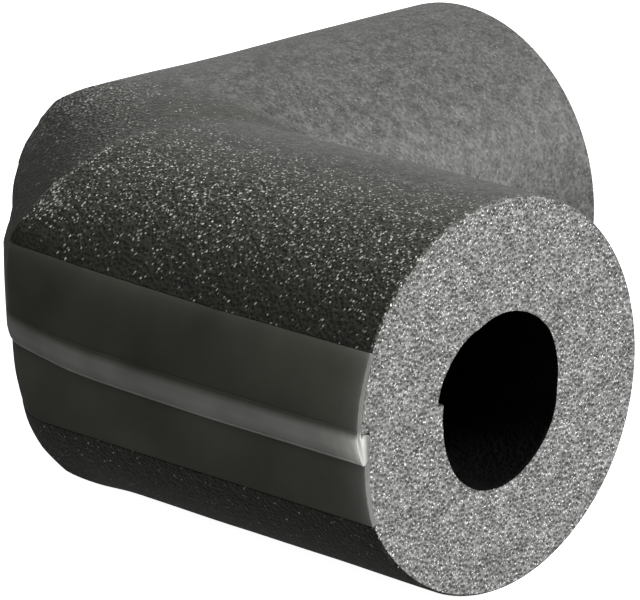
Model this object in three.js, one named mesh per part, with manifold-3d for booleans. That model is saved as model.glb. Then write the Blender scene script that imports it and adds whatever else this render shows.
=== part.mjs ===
// A mitred elbow of foam pipe lagging, 90 degrees in three lengths of tube welded end to end.
// A slit along the outer side lets it open over a pipe, and a snap strip of two parts closes it.
import * as THREE from 'three';
import { mergeVertices } from 'three/addons/utils/BufferGeometryUtils.js';
import Module from 'manifold-3d';

const wasm = await Module();
wasm.setup();

// Driving dimensions, in millimetres
const PIPE_BORE = 29;
const FOAM_WALL = 19.5;
const LEG_A_INNER_LENGTH = 60;
const LEG_B_INNER_LENGTH = 58;
const MIDDLE_INNER_LENGTH = 3;
const CORNER_RADIUS = 56;
const SLIT_WIDTH = 0.4;
const SLIT_HEIGHT = 1.5;
const LOWER_LIP_DROP = 1.4;
const STRIP_THICKNESS = 0.9;
const UPPER_FLANGE_REACH = 14.8;
const LOWER_FLANGE_REACH = 14.9;
const BEAD_LOWER_EDGE = -3.4;
const CLOSURE_DEPTH = 2.9;
const TONGUE_THICKNESS = 0.8;
const CLEARANCE = 0.3;

// How finely the round shapes are faceted
const TUBE_SIDES = 72;
const CORNER_STEPS = 10;

// Cutters run this far past what they cut, trims start this far outside the tube, and points
// of one mesh closer than this are the same point
const OVERRUN = 5;
const TRIM_MARGIN = 0.02;
const SAME_POINT = 1e-5;

// Derived sizes: each weld turns the tube by 45 degrees, so its plane leans by half of that
const WELD_TURN = Math.PI / 4;
const LEAN = Math.tan(WELD_TURN / 2);
const OUTER_RADIUS = PIPE_BORE / 2 + FOAM_WALL;
const WELD_START = LEAN * Math.SQRT2 * OUTER_RADIUS + MIDDLE_INNER_LENGTH / Math.SQRT2;
const LEG_A_END = WELD_START + LEAN * OUTER_RADIUS + LEG_A_INNER_LENGTH;
const LEG_B_END = WELD_START + LEAN * OUTER_RADIUS + LEG_B_INNER_LENGTH;

// The slit's lower lip lies inside the upper one, but its skin meets the round at the flange's
// lower edge, so that part of the skin is the same round moved inward and down
const EDGE_ANGLE = Math.asin(LOWER_FLANGE_REACH / OUTER_RADIUS);
const LOWER_LIP_SHIFT = LOWER_LIP_DROP / Math.tan(EDGE_ANGLE);

// How deep the strip's bed goes, and where the closure's parts meet above and below
const BED_DEPTH = STRIP_THICKNESS + CLEARANCE;
const TONGUE_TOP = SLIT_HEIGHT - CLEARANCE / 2;
const TONGUE_FOOT = TONGUE_TOP - TONGUE_THICKNESS;
const CATCH_TOP = TONGUE_FOOT - CLEARANCE;

function solidOf(geometry) {
  geometry.deleteAttribute('normal');
  geometry.deleteAttribute('uv');
  const merged = mergeVertices(geometry, SAME_POINT);
  const mesh = new wasm.Mesh({
    numProp: 3,
    vertProperties: Float32Array.from(merged.attributes.position.array),
    triVerts: Uint32Array.from(merged.index.array),
  });
  return new wasm.Manifold(mesh);
}

function prism(shape, low, high) {
  const options = { depth: high - low, bevelEnabled: false, curveSegments: CORNER_STEPS };
  const geometry = new THREE.ExtrudeGeometry(shape, options);
  geometry.translate(0, 0, low);
  return solidOf(geometry);
}

// A place on one of the four section planes: leg end, weld, weld, leg end. The first leg runs
// along +X and the second along +Y, and outward is the distance from the axis to the outer side.
function onSection(section, outward, up, pastEnd) {
  if (section === 0) {
    return [LEG_A_END + pastEnd, -outward, up];
  }
  if (section === 1) {
    return [WELD_START - LEAN * outward, -outward, up];
  }
  if (section === 2) {
    return [-outward, WELD_START - LEAN * outward, up];
  }
  return [-outward, LEG_B_END + pastEnd, up];
}

// A straight cylinder bent to the elbow, by setting its four rings on the section planes
function bentTube(radius, pastEnd, inward = 0, down = 0) {
  const lastSection = 3;
  const geometry = new THREE.CylinderGeometry(radius, radius, lastSection, TUBE_SIDES, lastSection);
  const places = geometry.attributes.position;
  for (let i = 0; i < places.count; i += 1) {
    const section = Math.round(lastSection / 2 - places.getY(i));
    const outward = places.getX(i) - inward;
    const up = places.getZ(i) - down;
    places.setXYZ(i, ...onSection(section, outward, up, pastEnd));
  }
  return solidOf(geometry);
}

// The elbow seen from above, with the two outer corners that the strip pulls round
function planOutline(offset) {
  const edge = -(OUTER_RADIUS + offset + TRIM_MARGIN);
  const far = Math.max(LEG_A_END, LEG_B_END) + OVERRUN;
  const arcRadius = CORNER_RADIUS + offset;
  const arcNear = CORNER_RADIUS - OUTER_RADIUS;
  const arcFar = WELD_START + LEAN * arcNear;
  const shape = new THREE.Shape();
  shape.moveTo(far, far);
  shape.lineTo(far, edge);
  shape.absarc(arcFar, arcNear, arcRadius, -2 * WELD_TURN, -3 * WELD_TURN, true);
  shape.absarc(arcNear, arcFar, arcRadius, -3 * WELD_TURN, -4 * WELD_TURN, true);
  shape.lineTo(edge, far);
  return shape;
}

// The elbow's outer form swollen by offset, and for the lower lip moved in by drop
function envelope(offset, drop) {
  const height = OUTER_RADIUS + offset + OVERRUN;
  const down = LOWER_LIP_SHIFT * (drop / LOWER_LIP_DROP);
  const tube = bentTube(OUTER_RADIUS + offset, 0, drop, down);
  return tube.intersect(prism(planOutline(offset - drop), -height, height));
}

// Everything on the outer side of the elbow's axis, between two heights
function outerSlab(low, high) {
  const far = Math.max(LEG_A_END, LEG_B_END) + OVERRUN;
  const edge = -(OUTER_RADIUS + OVERRUN);
  const shape = new THREE.Shape();
  shape.moveTo(far, 0);
  shape.lineTo(WELD_START, 0);
  shape.lineTo(0, WELD_START);
  shape.lineTo(0, far);
  shape.lineTo(edge, far);
  shape.lineTo(edge, edge);
  shape.lineTo(far, edge);
  return prism(shape, low, high);
}

// A skin between two depths under the outer form, cut off at two heights
function skin(deep, shallow, low, high, drop = 0) {
  const shell = envelope(-shallow, drop).subtract(envelope(-deep, drop));
  return shell.intersect(outerSlab(low, high));
}

// Cuts the beds that the flanges lie in, and the deeper bed of the closure between them
function cutBeds(body) {
  const above = SLIT_HEIGHT;
  const top = UPPER_FLANGE_REACH + CLEARANCE;
  const bottom = -LOWER_FLANGE_REACH - CLEARANCE;
  const upperBed = skin(BED_DEPTH, -OVERRUN, above, top);
  const lowerBed = skin(BED_DEPTH, -OVERRUN, bottom, above, LOWER_LIP_DROP);
  const closureBed = skin(CLOSURE_DEPTH + CLEARANCE, -OVERRUN, BEAD_LOWER_EDGE - CLEARANCE, above);
  return body.subtract(upperBed).subtract(lowerBed).subtract(closureBed);
}

// Below the slit the strip pulls the corners in as far again as the lower lip is set back
function cutLowerCorners(body) {
  const bottom = -OUTER_RADIUS - OVERRUN;
  const kept = prism(planOutline(-LOWER_LIP_DROP), bottom - OVERRUN, SLIT_HEIGHT + OVERRUN);
  return body.subtract(outerSlab(bottom, SLIT_HEIGHT).subtract(kept));
}

function foamElbow() {
  const bore = bentTube(PIPE_BORE / 2, OVERRUN);
  const slit = outerSlab(SLIT_HEIGHT - SLIT_WIDTH / 2, SLIT_HEIGHT + SLIT_WIDTH / 2);
  const body = cutBeds(cutLowerCorners(envelope(0, 0)));
  return body.subtract(bore).subtract(slit);
}

// The flange above the slit runs on as a bead that laps over it, with a tongue on its inner face
function upperStrip() {
  const flange = skin(STRIP_THICKNESS, 0, BEAD_LOWER_EDGE, UPPER_FLANGE_REACH);
  const tongue = skin(CLOSURE_DEPTH, 0, TONGUE_FOOT, TONGUE_TOP);
  return flange.add(tongue);
}

// The flange below the slit ends under the bead, in a thicker catch that the tongue snaps past
function lowerStrip() {
  const flange = skin(STRIP_THICKNESS, 0, -LOWER_FLANGE_REACH, CATCH_TOP, LOWER_LIP_DROP);
  const catchBlock = skin(CLOSURE_DEPTH, BED_DEPTH, BEAD_LOWER_EDGE, CATCH_TOP);
  return flange.add(catchBlock);
}

function meshOf(name, solid, material) {
  const { vertProperties, triVerts } = solid.getMesh();
  const geometry = new THREE.BufferGeometry();
  geometry.setAttribute('position', new THREE.BufferAttribute(vertProperties, 3));
  geometry.setIndex(new THREE.BufferAttribute(triVerts, 1));
  geometry.computeVertexNormals();
  const mesh = new THREE.Mesh(geometry, material);
  mesh.name = name;
  return mesh;
}

const foam = new THREE.MeshStandardMaterial({ color: 0x4b4b48, roughness: 0.95, metalness: 0 });
const plastic = new THREE.MeshStandardMaterial({ color: 0x464646, roughness: 0.5, metalness: 0 });

// The elbow lies on its side, with its box centred over the origin
const elbow = new THREE.Group();
elbow.add(meshOf('foam_elbow', foamElbow(), foam));
elbow.add(meshOf('zip_strip_upper', upperStrip(), plastic));
elbow.add(meshOf('zip_strip_lower', lowerStrip(), plastic));
const middleX = (LEG_A_END - OUTER_RADIUS) / 2;
const middleY = (LEG_B_END - OUTER_RADIUS) / 2;
elbow.position.set(-middleX, -middleY, OUTER_RADIUS);

export default elbow;
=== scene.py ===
"""A right-angle elbow of foam pipe lagging, slit along its outer side and closed with a zip strip.

Its points are in metres and in the same frame as the solids, with the elbow lying on its side.
"""
import math

import bmesh
import bpy
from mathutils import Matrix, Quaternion, Vector, noise


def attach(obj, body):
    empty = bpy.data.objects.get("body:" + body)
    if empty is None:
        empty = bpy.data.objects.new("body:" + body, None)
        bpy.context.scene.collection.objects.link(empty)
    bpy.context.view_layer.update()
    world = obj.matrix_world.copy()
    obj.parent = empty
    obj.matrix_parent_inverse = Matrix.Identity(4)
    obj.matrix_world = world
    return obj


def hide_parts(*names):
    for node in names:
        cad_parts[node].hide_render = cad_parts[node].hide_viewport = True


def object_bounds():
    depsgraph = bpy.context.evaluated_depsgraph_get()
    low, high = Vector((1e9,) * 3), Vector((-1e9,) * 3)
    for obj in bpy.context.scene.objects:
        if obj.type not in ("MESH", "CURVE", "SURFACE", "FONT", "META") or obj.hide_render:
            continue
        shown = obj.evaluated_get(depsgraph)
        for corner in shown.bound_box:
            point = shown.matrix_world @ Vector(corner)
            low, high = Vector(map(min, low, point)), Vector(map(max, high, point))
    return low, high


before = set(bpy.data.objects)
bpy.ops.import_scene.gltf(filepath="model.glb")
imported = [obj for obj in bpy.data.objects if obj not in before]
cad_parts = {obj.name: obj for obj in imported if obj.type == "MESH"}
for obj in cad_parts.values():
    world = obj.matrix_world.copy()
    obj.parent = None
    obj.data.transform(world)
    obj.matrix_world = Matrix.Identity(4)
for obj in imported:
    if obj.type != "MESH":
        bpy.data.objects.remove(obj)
cad_low, cad_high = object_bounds()

# Camera: a long lens from the outer side of leg A's open end, looking down along the middle
# length. Its place is counted in outer radii from the point where the two legs' axes cross.
scene = bpy.context.scene
outer_radius = (cad_high.z - cad_low.z) / 2
crossing = Vector((cad_low.x + outer_radius, cad_low.y + outer_radius, outer_radius))
camera_place = crossing + outer_radius * Vector((17.669, -16.224, 7.283))
camera_yaw = math.radians(134.677)
camera_pitch = math.radians(-17.183)
camera_roll = math.radians(-0.729)
SENSOR_WIDTH = 36
IMAGE_WIDTH = 640
FOCAL_LENGTH_PIXELS = 4780
sight = Vector((
    math.cos(camera_pitch) * math.cos(camera_yaw),
    math.cos(camera_pitch) * math.sin(camera_yaw),
    math.sin(camera_pitch),
))
camera = bpy.data.objects.new("camera", bpy.data.cameras.new("camera"))
camera.data.sensor_width = SENSOR_WIDTH
camera.data.lens = SENSOR_WIDTH * FOCAL_LENGTH_PIXELS / IMAGE_WIDTH
camera.data.shift_x = -0.0051
camera.data.shift_y = 0.0037
camera.data.clip_start = 0.05
camera.data.clip_end = 20
camera.location = camera_place
camera.rotation_mode = "QUATERNION"
level_turn = sight.to_track_quat("-Z", "Y")
camera.rotation_quaternion = level_turn @ Quaternion((0, 0, 1), camera_roll)
scene.collection.objects.link(camera)
scene.camera = camera

# Floor and light: a plain pale floor, a soft sky that is brightest above leg A's open end, and a
# soft key lamp from the same side, so that the cut face is bright and the zip strip's side lies in
# the shade. The floor throws no light back at the elbow.
FLOOR_HALF_WIDTH = 6
FLOOR_COLOUR = (0.92, 0.92, 0.92, 1)
FLOOR_ROUGHNESS = 0.9
FLOOR_GLOW = 0.95
SKY_BRIGHT_WAY = Vector((0.55, 0.12, 0.83))
SKY_TURNS_DIM = -0.5
SKY_BRIGHT = 0.84
SKY_DIM = 0.09
KEY_POWER = 22.0
KEY_SIZE = 0.35
KEY_PLACE = Vector((1.0, 0.38, 0.66))
WHITE = (1, 1, 1, 1)

floor_shape = bmesh.new()
bmesh.ops.create_grid(floor_shape, x_segments=1, y_segments=1, size=FLOOR_HALF_WIDTH)
floor_mesh = bpy.data.meshes.new("floor")
floor_shape.to_mesh(floor_mesh)
floor_shape.free()
floor = bpy.data.objects.new("floor", floor_mesh)
scene.collection.objects.link(floor)
floor_paint = bpy.data.materials.new("floor_paint")
floor_paint.use_nodes = True
floor_surface = floor_paint.node_tree.nodes["Principled BSDF"]
floor_surface.inputs["Base Color"].default_value = FLOOR_COLOUR
floor_surface.inputs["Roughness"].default_value = FLOOR_ROUGHNESS
floor_surface.inputs["Emission Color"].default_value = WHITE
floor_surface.inputs["Emission Strength"].default_value = FLOOR_GLOW
floor_mesh.materials.append(floor_paint)
floor.visible_diffuse = False
floor.visible_glossy = False

sky = scene.world or bpy.data.worlds.new("sky")
scene.world = sky
sky.use_nodes = True
sky_way = sky.node_tree.nodes.new("ShaderNodeTexCoord")
sky_side = sky.node_tree.nodes.new("ShaderNodeVectorMath")
sky_side.operation = "DOT_PRODUCT"
sky_side.inputs[1].default_value = SKY_BRIGHT_WAY.normalized()
sky_ramp = sky.node_tree.nodes.new("ShaderNodeMapRange")
sky_ramp.interpolation_type = "SMOOTHSTEP"
sky_ramp.inputs["From Min"].default_value = SKY_TURNS_DIM
sky_ramp.inputs["From Max"].default_value = 1.0
sky_ramp.inputs["To Min"].default_value = SKY_DIM
sky_ramp.inputs["To Max"].default_value = SKY_BRIGHT
sky_light = sky.node_tree.nodes["Background"]
sky_light.inputs["Color"].default_value = WHITE
sky.node_tree.links.new(sky_way.outputs["Generated"], sky_side.inputs[0])
sky.node_tree.links.new(sky_side.outputs["Value"], sky_ramp.inputs["Value"])
sky.node_tree.links.new(sky_ramp.outputs["Result"], sky_light.inputs["Strength"])
scene.view_settings.view_transform = "Standard"

key = bpy.data.objects.new("key_lamp", bpy.data.lights.new("key_lamp", "AREA"))
key.data.shape = "DISK"
key.data.size = KEY_SIZE
key.data.energy = KEY_POWER
key.location = KEY_PLACE
key.rotation_mode = "QUATERNION"
key.rotation_quaternion = (crossing - KEY_PLACE).to_track_quat("-Z", "Y")
scene.collection.objects.link(key)

# Foam elbow: closed-cell polyethylene foam tube, extruded, mitred into three lengths and heat
# welded. It is slit along its outer side, with shallow beds for the strips beside the slit, and
# the strips squash its two outer corners. The cut ends show the open cells.
MM = 0.001

# Tables pair a place with a value that is read off between its steps. A place is in degrees above
# the slit, in degrees round the bore, or in millimetres from a weld, and a value in millimetres
# or as a share.
BORE_OUTLINE = (
    (0, 13.7), (15, 13.9), (30, 14.5), (50, 15.45), (72, 15.8), (96, 15.5), (122, 14.8),
    (152, 14.5), (176, 13.85), (201, 14.3), (219, 14.75), (241, 14.5), (270, 14.1), (292, 13.65),
    (310, 14.15), (330, 14.55), (346, 15.0), (360, 15.1),
)
SLIT_AT_BORE = math.radians(7)
WELD_A = 0.663 * outer_radius
WELD_B = 0.51 * outer_radius
LEAN_A = 0.46
LEAN_B = 0.45
SLIT_TOP = 1.503 * MM
SLIT_FOOT = 1.497 * MM
BED_TOP = 14.9 * MM
BED_FOOT = -15.0 * MM
BED_DEPTH = 1.0 * MM
LOWER_LIP_DROP = 1.65 * MM
POCKET_FOOT = -4.1 * MM
POCKET_DEPTH = 2.88 * MM
KINK_ON_LEG = ((0, 0.86), (3, 0.8), (6, 0.66), (12, 0.36), (18, 0.12), (25, 0))
KINK_ON_LEG_BELOW = ((0, 0.95), (3, 0.4), (6, 0.08), (9, 0))
KINK_ON_MIDDLE = ((0, 0.88), (3, 0.93), (6, 0.96), (14, 0.94), (40, 0.92))
KINK_DENT = ((-75, 0), (-62, -0.5), (-52, -0.8), (-41, 0.2), (-33, 1.4), (-26, 2.7), (-8, 2.7),
             (0, 3.6), (9, 4.7), (26, 5.0), (28, 3.6), (34, 2.7), (41, 1.7), (48, 0.5), (54, -0.6),
             (66, -0.4), (85, 0))
LIFT_ON_LEG = ((0, 1.4), (12, 1.0), (20, 0.65), (35, 0.3), (53, 0))
LIFT_ROUND = ((-26, 0), (-12, 0.8), (-6, 1), (26, 1), (34, 0.8), (60, 0.2), (80, 0))
FOLD_ROUNDING = ((-180, 0.8), (-60, 1.5), (-26, 3), (-12, 5), (8, 5), (26, 3), (28, 1.2), (42, 2),
                 (55, 2.5), (80, 1.8), (180, 2))
SEAM_SHIFT = ((25, 0), (27, 1.2), (36, 1.8), (60, 2), (85, 1.5), (115, 0))
KINK_BELOW_STARTS = -10
KINK_BELOW_FULL = -26
DENT_LEFT_AT_WELD = 0.15
DENT_RETURNS_BY = 0.13
DENT_EASING = 2.5
STRIP_ENDS = 26
FOAM_STARTS = 26.2
FOAM_STEP = 2.5
LIFT_ENDS = 80
BORE_LIPS_REACH = 40
BED_STEP = 0.12
WELD_RIDGE = 0.4 * MM
WELD_RIDGE_BELOW = 0.15
WELD_RIDGE_FADES = 8
SEAM_WIDTH = 1.1 * MM
EDGE_ROUNDING = 0.35 * MM
SKIN_WAVE = 0.16 * MM
WAVE_LENGTH = 17 * MM
WAVE_STARTS = 0.5
LEG_STEPS = 42
MIDDLE_STEPS = 30
WALL_STEPS = 8
ARC_STEP = 2.5
STEPS_BY_END = (0.35, 0.9)
STEPS_BY_WELD = (0.5, 1.1)
SAME_POINT = 1e-4
CUT_FACE = 1
BORE_WALL = 2

leg_a_end = cad_high.x - crossing.x
leg_b_end = cad_high.y - crossing.y


def read_off(table, value):
    """A value read off a table of steps, straight between them and level beyond its ends."""
    for (start, low), (end, high) in zip(table, table[1:]):
        if value <= end:
            return low + (high - low) * max(0, (value - start) / (end - start))
    return table[-1][1]


def ring_place(ring, outward, up):
    """A place on one of four rings: leg A's end, the two welds, leg B's end. The first weld was
    not cut quite flat."""
    if ring == 0:
        return Vector((leg_a_end, -outward, up))
    if ring == 1:
        shift = read_off(SEAM_SHIFT, math.degrees(math.atan2(up, outward))) * MM
        return Vector((WELD_A - LEAN_A * outward + shift, -outward, up))
    if ring == 2:
        return Vector((-outward, WELD_B - LEAN_B * outward, up))
    return Vector((-outward, leg_b_end, up))


def on_elbow(along, outward, up):
    """Along runs from 0 at leg A's end over the welds at 1 and 2 to 3 at leg B's end. The foam
    turns sharply at a weld, but in an even curve near the strip."""
    rings = [ring_place(ring, outward, up) for ring in range(4)]
    before = min(int(along), 2)
    place = rings[before].lerp(rings[before + 1], along - before)
    weld = 1 if along < 1.5 else 2
    arriving = rings[weld] - rings[weld - 1]
    leaving = rings[weld + 1] - rings[weld]
    reach = read_off(FOLD_ROUNDING, math.degrees(math.atan2(up, outward))) * MM
    reach = min(reach, 0.45 * arriving.length, 0.45 * leaving.length)
    away = (place - rings[weld]).length * (1 if along > weld else -1)
    if abs(away) >= reach:
        return place
    turned = (away + reach) ** 2 / (4 * reach)
    return rings[weld] + arriving.normalized() * (away - turned) + leaving.normalized() * turned


leg_side = leg_a_end - ring_place(1, outer_radius, 0).x
middle_side = (ring_place(1, outer_radius, 0) - ring_place(2, outer_radius, 0)).length


def pull_of_strip(along, turn):
    """1 where the strip turns over a weld, rather less on the middle length, 0 on the legs. Below
    the slit the legs are squashed only close to the weld."""
    if 1 < along < 2:
        return read_off(KINK_ON_MIDDLE, min(along - 1, 2 - along) * middle_side / MM)
    away = min(abs(along - 1), abs(along - 2)) * leg_side / MM
    below = (KINK_BELOW_STARTS - turn) / (KINK_BELOW_STARTS - KINK_BELOW_FULL)
    below = min(1, max(0, below))
    pulled = read_off(KINK_ON_LEG, away)
    return pulled + (read_off(KINK_ON_LEG_BELOW, away) - pulled) * below


def dent(angle, along):
    """How far the strip squashes the foam, at an angle above or below the slit. The strip's
    upper edge and the foam above it are squashed less at the first weld than at the second."""
    turn = math.degrees(math.remainder(angle, 2 * math.pi))
    if not KINK_DENT[0][0] < turn < KINK_DENT[-1][0]:
        return 0
    past_weld = min(1, max(0, along - 1))
    spared_strip = min(1, max(0, turn / STRIP_ENDS)) * max(0, 1 - past_weld / DENT_RETURNS_BY)
    spared_strip *= 1 - DENT_LEFT_AT_WELD
    above = min(1, max(0, (turn - FOAM_STARTS) / FOAM_STEP))
    spared = spared_strip + (1 - past_weld ** DENT_EASING - spared_strip) * above
    return read_off(KINK_DENT, turn) * MM * pull_of_strip(along, turn) * (1 - spared)


def lift(angle, along):
    """How far the strip is pushed up, with the foam beside it, as it goes round the bend."""
    turn = math.degrees(math.remainder(angle, 2 * math.pi))
    away = 0 if 1 < along < 2 else min(abs(along - 1), abs(along - 2)) * leg_side / MM
    return read_off(LIFT_ROUND, turn) * (abs(turn) < LIFT_ENDS) * read_off(LIFT_ON_LEG, away) * MM


def lip_drop(up):
    """The lower lip of the slit lies inside the upper one, down to the lower flange's edge."""
    share = max(0, 1 - (up - POCKET_FOOT) / (BED_FOOT - POCKET_FOOT)) if up < POCKET_FOOT else 1
    return LOWER_LIP_DROP * share


def angle_at(up):
    return math.asin(up / outer_radius)


def rim_table():
    """The foam's outer outline from the slit's lower lip right round to its upper lip."""
    slit_angle = math.degrees(angle_at(SLIT_FOOT))
    pocket_angle = math.degrees(angle_at(POCKET_FOOT))
    foot_angle = math.degrees(angle_at(BED_FOOT))
    top_angle = math.degrees(angle_at(BED_TOP)) - 360
    upper_lip_angle = math.degrees(angle_at(SLIT_TOP)) - 360
    stretches = (
        (slit_angle, pocket_angle, "pocket"),
        (pocket_angle - BED_STEP, foot_angle, "lower bed"),
        (foot_angle - BED_STEP, top_angle - BED_STEP, "skin"),
        (top_angle, upper_lip_angle, "upper bed"),
    )
    table = []
    for start, end, kind in stretches:
        steps = max(1, round(abs(end - start) / ARC_STEP))
        for i in range(steps + 1):
            table.append((math.radians(start + (end - start) * i / steps), kind))
    return table


rim = rim_table()


def bore_place(rim_index):
    """The bore is rather out of round, and its two lips at the slit are out of line."""
    angle = rim[rim_index][0]
    round_from_slit = math.degrees(rim[0][0] - angle)
    near_lower_lip = max(0, 1 - round_from_slit / BORE_LIPS_REACH)
    near_upper_lip = max(0, 1 - (360 - round_from_slit) / BORE_LIPS_REACH)
    near_slit = min(1, near_lower_lip + near_upper_lip)
    turned = angle + (SLIT_AT_BORE - rim[0][0]) * near_slit
    return turned, read_off(BORE_OUTLINE, round_from_slit) * MM


def skin_depth(angle, kind):
    """How deep the foam's surface lies under the full round."""
    up = outer_radius * math.sin(angle)
    if kind == "pocket":
        return POCKET_DEPTH
    if kind == "lower bed":
        return BED_DEPTH + lip_drop(up)
    return BED_DEPTH if kind == "upper bed" else 0


def slit_height(outward):
    """The slit's two faces touch on one straight line from the bore to the beds."""
    bore_edge = BORE_OUTLINE[-1][1] * MM
    start = bore_edge * math.cos(SLIT_AT_BORE)
    fall = (bore_edge * math.sin(SLIT_AT_BORE) - SLIT_TOP) / (outer_radius - BED_DEPTH - start)
    return SLIT_TOP + (outer_radius - BED_DEPTH - outward) * fall


def weld_line(along, angle):
    """About 1 on the weld's seam, which stands up as a thin uneven ridge."""
    on_middle = 1 < along < 2
    away = min(abs(along - 1), abs(along - 2)) * (middle_side if on_middle else leg_side)
    unevenness = noise.noise((along * 5, angle * 14, 0))
    return max(0, 1 - away / SEAM_WIDTH) * (0.6 + 0.9 * unevenness)


def foam_place(rim_index, wall_index, along):
    """The place of a point of the foam, from the bore out to the skin, with its skin in soft
    waves near the top and the bottom."""
    angle, kind = rim[rim_index]
    share = wall_index / WALL_STEPS
    bore_angle, bore_radius = bore_place(rim_index)
    outer = outer_radius - skin_depth(angle, kind) - dent(angle, along)
    if kind == "skin":
        height = math.sin(angle)
        flattened = min(1, WELD_RIDGE_FADES * (1 - height)) if height > 0 else WELD_RIDGE_BELOW
        outer += WELD_RIDGE * max(0, weld_line(along, angle)) * flattened
    end_gap = min(along, 3 - along) * leg_side
    if end_gap < EDGE_ROUNDING / 2:
        bore_radius += EDGE_ROUNDING * 0.5
        outer -= EDGE_ROUNDING if kind == "skin" else 0
    near = [bore_radius * math.cos(bore_angle), bore_radius * math.sin(bore_angle)]
    far = [outer * math.cos(angle), outer * math.sin(angle)]
    if rim_index in (0, len(rim) - 1):
        near[1] = slit_height(near[0])
        far[1] = slit_height(far[0]) + (SLIT_FOOT - SLIT_TOP if rim_index == 0 else 0)
    place = on_elbow(along, *near).lerp(on_elbow(along, *far), share)
    place.z += lift(angle, along) * share
    wave = noise.noise(place / WAVE_LENGTH) * SKIN_WAVE - SKIN_WAVE
    clear_of_beds = max(0, abs(math.sin(angle)) - WAVE_STARTS)
    place.z += math.copysign(clear_of_beds, math.sin(angle)) * 2 * wave * share
    return place + crossing


def foam_end_at(along):
    return along == 0 or along == 3


def stations():
    """Where along the elbow the mesh has a ring, closer at the cut edges and at the welds."""
    leg = leg_a_end - WELD_A
    near_middle = [1 + gap * MM / middle_side for gap in STEPS_BY_WELD]
    places = [i / LEG_STEPS for i in range(LEG_STEPS + 1)]
    places += [gap * MM / leg for gap in STEPS_BY_END]
    places += [1 - gap * MM / leg for gap in STEPS_BY_WELD]
    far_leg = [3 - place for place in places]
    between = [1 + i / MIDDLE_STEPS for i in range(1, MIDDLE_STEPS)]
    between += near_middle + [3 - place for place in near_middle]
    return sorted(places + between + far_leg)


def spaced_grid(columns, rows):
    """A flat grid whose points stand at whole numbers, to be bent into place later."""
    shape = bmesh.new()
    bmesh.ops.create_grid(shape, x_segments=columns, y_segments=rows, size=0.5)
    for point in shape.verts:
        point.co.x = round((point.co.x + 0.5) * columns)
        point.co.y = round((point.co.y + 0.5) * rows)
    return shape


def run_along(shape, places):
    """Extrudes the outline of a flat shape through all the stations and closes the far end."""
    first_end = list(shape.faces)
    outline = [edge for edge in shape.edges if edge.is_boundary]
    for place in places[1:]:
        grown = bmesh.ops.extrude_edge_only(shape, edges=outline)["geom"]
        moved = {item for item in grown if isinstance(item, bmesh.types.BMVert)}
        for point in moved:
            point.co.z = place
        edges = (item for item in grown if isinstance(item, bmesh.types.BMEdge))
        outline = [edge for edge in edges if all(point in moved for point in edge.verts)]
    corners_too = [item for face in first_end for item in (*face.verts, *face.edges)]
    copied = bmesh.ops.duplicate(shape, geom=list({*first_end, *corners_too}))["geom"]
    for point in (item for item in copied if isinstance(item, bmesh.types.BMVert)):
        point.co.z = places[-1]
    far_end = [item for item in copied if isinstance(item, bmesh.types.BMFace)]
    bmesh.ops.remove_doubles(shape, verts=shape.verts, dist=SAME_POINT)
    return first_end, far_end


def finish_piece(shape, name, node, materials, crease):
    """Makes a piece of a bent shape, with its faces outwards, that stands for a solid."""
    mesh = bpy.data.meshes.new(name)
    bmesh.ops.recalc_face_normals(shape, faces=shape.faces)
    if shape.calc_volume(signed=True) < 0:
        bmesh.ops.reverse_faces(shape, faces=shape.faces)
    shape.to_mesh(mesh)
    shape.free()
    mesh.shade_smooth()
    mesh.set_sharp_from_angle(angle=math.radians(crease))
    for material in materials:
        mesh.materials.append(material)
    piece = bpy.data.objects.new(name, mesh)
    scene.collection.objects.link(piece)
    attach(piece, "root")
    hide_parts(node)
    return piece


def feed(tree, socket, value):
    """Sets an input to a value, or links it to another node's output."""
    if isinstance(value, bpy.types.NodeSocket):
        tree.links.new(value, socket)
    else:
        socket.default_value = value


def fed_node(tree, kind, inputs, **settings):
    """A new node with its settings, and its inputs fed by name."""
    node = tree.nodes.new("ShaderNode" + kind)
    for name, value in settings.items():
        setattr(node, name, value)
    for name, value in inputs.items():
        feed(tree, node.inputs[name], value)
    return node


def calc(tree, operation, first, second):
    return fed_node(tree, "Math", {0: first, 1: second}, operation=operation).outputs[0]


def ranged(tree, value, low, high, from_low=0, from_high=1):
    inputs = {"Value": value, "To Min": low, "To Max": high}
    inputs.update({"From Min": from_low, "From Max": from_high})
    return fed_node(tree, "MapRange", inputs).outputs["Result"]


def mixed(tree, share, first, second, blend="MIX"):
    settings = {"data_type": "RGBA", "blend_type": blend}
    inputs = {"Factor": share, "A": first, "B": second}
    return fed_node(tree, "Mix", inputs, **settings).outputs["Result"]


def layer(tree, name):
    return fed_node(tree, "Attribute", {}, attribute_name=name).outputs["Fac"]


GLINT_SLANT = math.radians(36)


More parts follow.
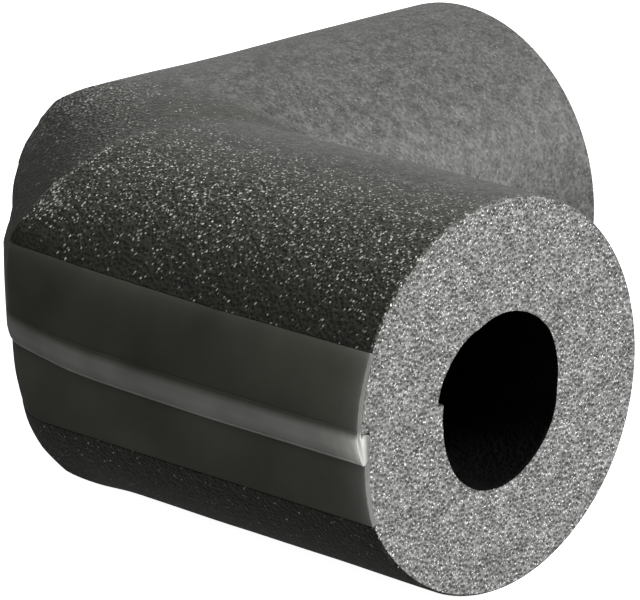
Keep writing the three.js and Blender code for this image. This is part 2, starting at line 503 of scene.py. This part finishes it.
def cell_group():
    """Foam cells: a height for bump, thin pale walls, dark pits and glinting facets of two sizes,
    drawn out slantwise, that mark where glints are painted into the colour."""
    tree = bpy.data.node_groups.new("foam_cells", "ShaderNodeTree")
    for name in ("Scale", "Glints", "Drawn"):
        tree.interface.new_socket(name=name, in_out="INPUT", socket_type="NodeSocketFloat")
    for name in ("Height", "Walls", "Glint", "Mottle"):
        tree.interface.new_socket(name=name, in_out="OUTPUT", socket_type="NodeSocketFloat")
    into = tree.nodes.new("NodeGroupInput").outputs
    place = tree.nodes.new("ShaderNodeTexCoord").outputs["Object"]
    stretch = fed_node(tree, "CombineXYZ", {"X": 1, "Y": 1, "Z": into["Drawn"]}).outputs[0]
    slanting = {"Vector": place, "Rotation": (0, GLINT_SLANT, 0), "Scale": stretch}
    drawn = fed_node(tree, "Mapping", slanting, vector_type="TEXTURE").outputs["Vector"]
    cells = fed_node(tree, "TexVoronoi", {"Vector": place, "Scale": into["Scale"]})
    walls = ranged(tree, cells.outputs["Distance"], 0, 1, 0.15, 0.75)
    glints = []
    for finer, share, reach, evenness in ((3.2, 1, 2, 3.0), (1.7, 0.2, 0.3, 1.4)):
        size = calc(tree, "MULTIPLY", into["Scale"], finer)
        facets = fed_node(tree, "TexVoronoi", {"Vector": drawn, "Scale": size})
        pick = fed_node(tree, "SeparateColor", {"Color": facets.outputs["Color"]}).outputs
        chance = calc(tree, "MULTIPLY", into["Glints"], share)
        chosen = calc(tree, "LESS_THAN", pick["Red"], chance)
        near = calc(tree, "LESS_THAN", facets.outputs["Distance"], reach)
        strength = calc(tree, "POWER", pick["Green"], evenness)
        glints.append(calc(tree, "MULTIPLY", calc(tree, "MULTIPLY", chosen, near), strength))
        if finer > 2:
            fine = calc(tree, "MULTIPLY", facets.outputs["Distance"], 0.25)
    blotches = {"Vector": place, "Scale": 420, "Detail": 3, "Roughness": 0.6}
    blotch = fed_node(tree, "TexNoise", blotches)
    out = tree.nodes.new("NodeGroupOutput")
    feed(tree, out.inputs["Height"], calc(tree, "ADD", walls, fine))
    feed(tree, out.inputs["Walls"], walls)
    feed(tree, out.inputs["Glint"], calc(tree, "MAXIMUM", *glints))
    feed(tree, out.inputs["Mottle"], blotch.outputs["Fac"])
    return tree


foam_cells = cell_group()


CELL_RELIEF = 0.25 * MM
FAINT_PAINTED_GLINT = (0.13, 0.13, 0.127, 1)


def new_material(name):
    material = bpy.data.materials.new(name)
    material.use_nodes = True
    return material, material.node_tree, material.node_tree.nodes["Principled BSDF"].inputs


def foam_finish(name, scale, glints, drawn, relief, roughness, pit, wall, glint, lit_paler=(1, 1, 1)):
    """One foam surface: pits and walls mixed by the cells, blotched, with glints painted into its
    colour on facets that are drawn out lengthwise. Where light is painted on, it is paler by the
    given factors, flatter, and its painted glints are fainter."""
    material, tree, surface = new_material(name)
    often = calc(tree, "MULTIPLY", layer(tree, "painted_glints"), glints)
    cells = tree.nodes.new("ShaderNodeGroup")
    cells.node_tree = foam_cells
    for socket, value in (("Scale", scale), ("Glints", often), ("Drawn", drawn)):
        feed(tree, cells.inputs[socket], value)
    cells = cells.outputs
    # Painted light: where the layer says so, the skin is paler and flatter, and its painted glints
    # fainter.
    painted_light = layer(tree, "painted_light") if max(lit_paler) > 1 else 0
    filled = ranged(tree, painted_light, 0, 0.42)
    body = mixed(tree, cells["Walls"], (*pit, 1), (*wall, 1))
    body = mixed(tree, filled, body, tuple((a * 0.4 + b * 0.6) for a, b in zip(pit, wall)) + (1,))
    body = mixed(tree, 1, body, mixed(tree, painted_light, WHITE, (*lit_paler, 1)), "MULTIPLY")
    shade = ranged(tree, cells["Mottle"], 0.58, 1.42, 0.3, 0.7)
    body = mixed(tree, 1, body, shade, "MULTIPLY")
    softened = ranged(tree, painted_light, 0, 0.92, 0.12, 0.6)
    glint_colour = mixed(tree, softened, (*glint, 1), FAINT_PAINTED_GLINT)
    # The glints are painted highlights: pale flecks in the base colour, glossier than the foam
    # round them.
    feed(tree, surface["Base Color"], mixed(tree, cells["Glint"], body, glint_colour))
    shiny = ranged(tree, softened, 0.22, roughness)
    feed(tree, surface["Roughness"], ranged(tree, cells["Glint"], roughness, shiny))
    strength = ranged(tree, painted_light, relief, relief / lit_paler[0], 0, 0.5)
    bumps = {"Strength": strength, "Distance": CELL_RELIEF, "Height": cells["Height"]}
    bump = fed_node(tree, "Bump", bumps)
    feed(tree, surface["Normal"], bump.outputs["Normal"])
    return material


foam_skin = foam_finish(
    "foam_skin", scale=1300, glints=0.25, drawn=2.8, relief=0.9, roughness=0.5,
    pit=(0.0056, 0.0062, 0.0034), wall=(0.0234, 0.0254, 0.0142), glint=(0.75, 0.75, 0.7),
    lit_paler=(3.96, 3.65, 6.26),
)
foam_cut = foam_finish(
    "foam_cut_face", scale=1450, glints=0.25, drawn=1.1, relief=1.0, roughness=0.55,
    pit=(0.05, 0.0503, 0.0483), wall=(0.175, 0.1755, 0.17), glint=(0.75, 0.75, 0.73),
)
# The bore is painted near black and gets no glints: a painted shade for the dark inside of the
# tube.
bore_painted_shade = foam_finish(
    "bore_painted_shade", scale=1300, glints=0.0, drawn=1, relief=0.5, roughness=0.9,
    pit=(0.001, 0.001, 0.001), wall=(0.003, 0.003, 0.003), glint=(0.01, 0.01, 0.01),
)
for foam_material, shine in ((foam_skin, 0.3), (bore_painted_shade, 0.05)):
    foam_surface = foam_material.node_tree.nodes["Principled BSDF"]
    foam_surface.inputs["Specular IOR Level"].default_value = shine
foam_skin.node_tree.nodes["Principled BSDF"].inputs["Sheen Weight"].default_value = 0.08

foam_shape = spaced_grid(len(rim) - 1, WALL_STEPS)
foam_ends = run_along(foam_shape, stations())
for end_faces in foam_ends:
    for end_face in end_faces:
        end_face.material_index = CUT_FACE
for foam_face in foam_shape.faces:
    if all(round(point.co.y) == 0 for point in foam_face.verts):
        foam_face.material_index = BORE_WALL

# One layer says how many glints are painted into the colour, where light catches the foam: most on
# leg A's shoulder, along its weld's seam and on a patch beside the seam, fewer on the middle,
# fainter ones on leg B, and fewer along the slit on the cut faces. The other layer is painted
# light: the skin is paler where more light falls, most on leg B, along leg A's crest and round the
# inner side. Both are read off two tables, one round the tube in degrees and one along it from end
# to end.
PAINTED_GLINTS_ROUND = ((-180, 0.3), (-60, 0.08), (-27, 0.12), (26, 0.12), (38, 0.45), (52, 1), (72, 0.95),
                (95, 0.5), (130, 0.3), (180, 0.3))
PAINTED_GLINTS_ALONG = ((0.9, 1), (1.05, 0.25), (1.5, 0.3), (2, 1.8), (3, 1.8))
PAINTED_LIGHT_ROUND = ((-180, 1.3), (-90, 0.8), (-30, 0.2), (35, 0.08), (55, 0.15), (70, 0.4), (85, 0.8),
                (97, 1.25), (115, 1.4), (180, 1.4))
PAINTED_LIGHT_ALONG = ((0, 0.6), (0.9, 0.55), (1.05, 0.25), (1.4, 0.22), (1.8, 0.45), (2.1, 1), (3, 1))
SEAM_ROUND = ((36, 0.6), (50, 1), (68, 1), (84, 0.35), (100, 0))
GLINT_PATCH_ROUND = ((33, 0), (42, 1), (51, 0))
GLINT_PATCH_ALONG = ((0.91, 0), (0.97, 1), (1.03, 0))
SEAM_GLINTS = 3
GLINT_PATCH_GLINTS = 2.6
SEAM_PAINTED_LIGHT = 0.25
GLINT_PATCH_PAINTED_LIGHT = 0.15
CUT_GLINTS = 1
CUT_GLINTS_AT_SLIT = 0.3
painted_glints = foam_shape.verts.layers.float.new("painted_glints")
painted_light = foam_shape.verts.layers.float.new("painted_light")
for point in foam_shape.verts:
    rim_at, wall_at, along_at = round(point.co.x), round(point.co.y), point.co.z
    angle_here = rim[rim_at][0]
    point.co = foam_place(rim_at, wall_at, along_at)
    turn = math.degrees(math.remainder(angle_here, 2 * math.pi))
    glinting = read_off(PAINTED_GLINTS_ROUND, turn) * read_off(PAINTED_GLINTS_ALONG, along_at)
    paler = read_off(PAINTED_LIGHT_ROUND, turn) * read_off(PAINTED_LIGHT_ALONG, along_at)
    seam = max(0, weld_line(along_at, angle_here)) * read_off(SEAM_ROUND, turn) * (turn > 36)
    # A patch of painted glints, and a little painted light, beside leg A's weld.
    glint_patch = read_off(GLINT_PATCH_ROUND, turn) * read_off(GLINT_PATCH_ALONG, along_at)
    if foam_end_at(along_at):
        glinting = CUT_GLINTS_AT_SLIT if rim_at in (0, len(rim) - 1) else CUT_GLINTS
        seam = glint_patch = 0
    point[painted_glints] = glinting + SEAM_GLINTS * seam + GLINT_PATCH_GLINTS * glint_patch
    point[painted_light] = min(1, paler + SEAM_PAINTED_LIGHT * seam + GLINT_PATCH_PAINTED_LIGHT * glint_patch)
foam = finish_piece(foam_shape, "foam_elbow_body", "foam_elbow",
                    (foam_skin, foam_cut, bore_painted_shade), crease=38)

# Upper strip: extruded dark polyethylene, glued into its bed above the slit. Its lower edge is a
# thick bead that laps over the slit, sawn off with the foam, so that its end is rough and pale;
# near the cut the paleness is also a painted glow of the light that comes in through it.
UPPER_SECTION = (
    (14.75, 0.05), (2.5, 0.02), (2.25, 0.13), (2.0, 0.02), (0.4, 0.05), (-1.6, 0.4),
    (-3.25, 0.85), (-3.45, 1.15), (-3.65, 0.95), (-4.0, 1.2), (-4.0, 1.6), (-3.3, 2.45),
    (1.3, 2.45), (1.3, 1.55), (0.7, 1.45), (0.75, 0.9), (14.75, 0.9),
)
GLUED_EDGE = 14.75
BEAD_TOP = 1.8
BEAD_FOOT = -4.3
BEAD_DEPTH = 1.7
BESIDE_BEAD = -9
SAWN_REACH = 2.6
END_REACH = 45
EDGE_PALER = 0.35
BEAD_PALER = 4.6
END_LIGHT_PALER = 0.6
SAWN_AND_GLOW_PALER = 2.2
SAWN_BEAD_AND_GLOW_PALER = 1.6
LOWER_PALER = 1.35
PALEST_TONE = 18
CORNER_ROUNDING = 0.1
LONG_EDGE = 3
LONG_EDGE_CUTS = 9
OLIVE_TINT = (0.98, 1, 0.8, 1)
TRANSLUCENCY = 0.6
LIGHT_REACH = 2.5 * MM
GRAIN_RELIEF = 0.08 * MM


def strip_tone(up, depth, gap):
    """How much paler the plastic is than at its darkest: along the glued edge, on the bead, and
    towards a sawn end. Towards the end it is painted light: paler over the last stretch, where
    more light falls, and palest at the cut, a painted glow of the light that comes in through it.
    All in millimetres."""
    bead = min(1, max(0, (BEAD_TOP - up) / BEAD_TOP)) * (BEAD_FOOT < up) * (depth < BEAD_DEPTH)
    glued_edge = max(0, 1 - (GLUED_EDGE - up) / 3)
    # Painted light: paler towards an end, where more light falls, and a painted glow at the cut
    # itself.
    lit_near_end = max(0, 1 - gap / END_REACH) ** 2
    at_cut = (SAWN_AND_GLOW_PALER + SAWN_BEAD_AND_GLOW_PALER * bead) * math.exp(-gap / SAWN_REACH)
    tone = 1 + EDGE_PALER * glued_edge + BEAD_PALER * bead
    return min(tone * (1 + END_LIGHT_PALER * lit_near_end + at_cut), PALEST_TONE)


def strip_shape(section, has_bead):
    """A strip's section from its corner points, rounded at the corners and run along the elbow.
    The layer "tone" says how pale the plastic is."""
    shape = bmesh.new()
    points = [shape.verts.new((up, depth, 0)) for up, depth in section]
    shape.faces.new(points)
    bmesh.ops.bevel(shape, geom=list(shape.verts), offset=CORNER_ROUNDING, offset_type="OFFSET",
                    segments=2, profile=0.5, affect="VERTICES", material=-1)
    long_edges = [edge for edge in shape.edges if edge.calc_length() > LONG_EDGE]
    bmesh.ops.subdivide_edges(shape, edges=long_edges, cuts=LONG_EDGE_CUTS)
    ends = run_along(shape, stations())
    for end_faces in ends:
        for end_face in end_faces:
            end_face.material_index = CUT_FACE
    tone = shape.verts.layers.float.new("tone")
    for point in shape.verts:
        up, depth, along = point.co.x, point.co.y, point.co.z
        gap = min(along, 3 - along) * leg_side / MM
        if has_bead:
            point[tone] = strip_tone(up, depth, gap)
        else:
            point[tone] = LOWER_PALER * strip_tone(BESIDE_BEAD, depth, gap)
        angle = angle_at(up * MM)
        radius = outer_radius - depth * MM - dent(angle, along)
        place = on_elbow(along, radius * math.cos(angle), radius * math.sin(angle))
        place.z += lift(angle, along)
        point.co = place + crossing
    return shape


def plastic_finish(name, dark, light, roughness, relief):
    """Satin extruded plastic, cloudy and finely grained, as pale as its layer "tone" says, and
    rather olive where it is dark."""
    material, tree, surface = new_material(name)
    place = tree.nodes.new("ShaderNodeTexCoord").outputs["Object"]
    cloud = fed_node(tree, "TexNoise", {"Vector": place, "Scale": 60, "Detail": 6})
    cloud = ranged(tree, cloud.outputs["Fac"], 0, 1, 0.33, 0.67)
    body = mixed(tree, cloud, (*dark, 1), (*light, 1))
    tone = layer(tree, "tone")
    tint = mixed(tree, ranged(tree, tone, 0, 1, 1, 4), OLIVE_TINT, WHITE)
    toned = mixed(tree, 1, mixed(tree, 1, body, tint, "MULTIPLY"), tone, "MULTIPLY")
    feed(tree, surface["Base Color"], toned)
    feed(tree, surface["Roughness"], ranged(tree, cloud, roughness - 0.06, roughness + 0.1))
    surface["Subsurface Weight"].default_value = TRANSLUCENCY
    surface["Subsurface Radius"].default_value = (1, 1, 1)
    surface["Subsurface Scale"].default_value = LIGHT_REACH
    grain = fed_node(tree, "TexNoise", {"Vector": place, "Scale": 900, "Detail": 3})
    bumps = {"Strength": relief, "Distance": GRAIN_RELIEF, "Height": grain.outputs["Fac"]}
    bump = fed_node(tree, "Bump", bumps)
    feed(tree, surface["Normal"], bump.outputs["Normal"])
    return material


strip_plastic = plastic_finish(
    "strip_plastic", dark=(0.041, 0.0414, 0.0385), light=(0.069, 0.0695, 0.0655),
    roughness=0.42, relief=0.15,
)
strip_sawn = plastic_finish(
    "strip_sawn_end", dark=(0.024, 0.024, 0.023), light=(0.036, 0.036, 0.0345),
    roughness=0.55, relief=0.6,
)
finish_piece(strip_shape(UPPER_SECTION, has_bead=True), "strip_above_slit", "zip_strip_upper",
             (strip_plastic, strip_sawn), crease=35)

# Lower strip: the same plastic, glued below the slit. A thin web runs in under the bead, where
# the two halves snap together.
LOWER_SECTION = (
    (-14.85, 0.1), (-4.1, 1.65), (-3.6, 2.5), (1.2, 2.5), (1.2, 2.83), (-4.0, 2.83),
    (-4.6, 2.5), (-14.85, 1.0),
)
finish_piece(strip_shape(LOWER_SECTION, has_bead=False), "strip_below_slit", "zip_strip_lower",
             (strip_plastic, strip_sawn), crease=35)
